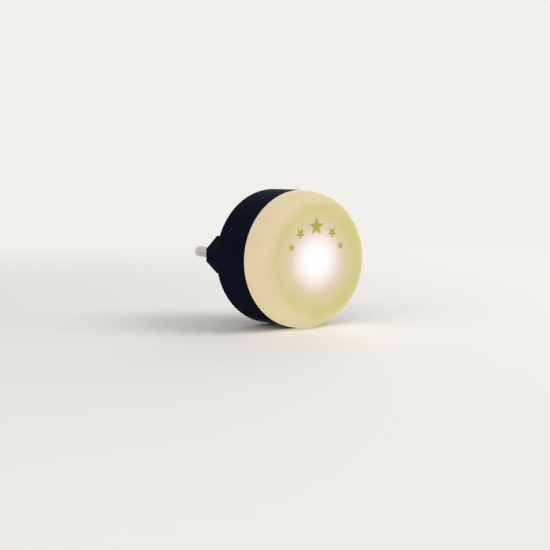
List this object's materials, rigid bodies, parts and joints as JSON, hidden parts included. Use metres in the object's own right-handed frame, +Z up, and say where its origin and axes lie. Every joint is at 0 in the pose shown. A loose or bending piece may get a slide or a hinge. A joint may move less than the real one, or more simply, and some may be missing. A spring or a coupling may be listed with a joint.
{
  "type": "night light",
  "caption": "Round plug-in night light: a dark drum with a glowing, round-shouldered lens, a flat pin plug behind it and a slide switch underneath.",
  "frame": {"origin": "centre of the drum's back face, on the axis of the drum", "axes": "+Z up, the lens faces -Y, the plug points along +Y"},
  "size_m": [0.048, 0.0621, 0.048],
  "materials": {
    "drum_plastic": "satin moulded",
    "lens_plastic": "translucent, satin, lit from inside",
    "reflector_plastic": "white, gloss",
    "pin_metal": "nickel plated",
    "sleeve_plastic": "moulded",
    "lead_insulation": "extruded",
    "screw_steel": "zinc plated",
    "board_laminate": "solder resist",
    "lamp_epoxy": "clear cast",
    "tinned_wire": "tinned",
    "film_case": "moulded",
    "can_sleeve": "shrunk sleeve",
    "rectifier_epoxy": "moulded",
    "resistor_coat": "dipped",
    "switch_steel": "stamped",
    "switch_insulator": "moulded",
    "contact_brass": "stamped",
    "button_plastic": "moulded"
  },
  "bodies": {
    "housing": {"body_shell": "drum_plastic", "rear_cover": "drum_plastic", "lens_cap": "lens_plastic", "reflector_plate": "reflector_plastic", "left_pin": "pin_metal", "right_pin": "pin_metal", "left_pin_sleeve": "sleeve_plastic", "right_pin_sleeve": "sleeve_plastic", "left_lead": "lead_insulation", "right_lead": "lead_insulation", "cover_screws": "screw_steel", "board_screws": "screw_steel", "circuit_board": "board_laminate", "led_lamp": "lamp_epoxy", "led_legs": "tinned_wire", "capacitor_leads": "tinned_wire", "rectifier_legs": "tinned_wire", "resistor_leads": "tinned_wire", "film_capacitor": "film_case", "smoothing_capacitor": "can_sleeve", "bridge_rectifier": "rectifier_epoxy", "fusible_resistor": "resistor_coat", "bleeder_resistor": "resistor_coat", "series_resistor": "resistor_coat", "switch_frame": "switch_steel", "switch_base": "switch_insulator", "switch_terminals": "contact_brass"},
    "slider": {"switch_slider": "switch_insulator", "switch_bridge": "contact_brass", "switch_button": "button_plastic"}
  },
  "joints": [
    {"name": "switch_travel", "type": "slide", "parent": "housing", "child": "slider", "axis": [1, 0, 0], "range_m": [0, 0.002]}
  ]
}
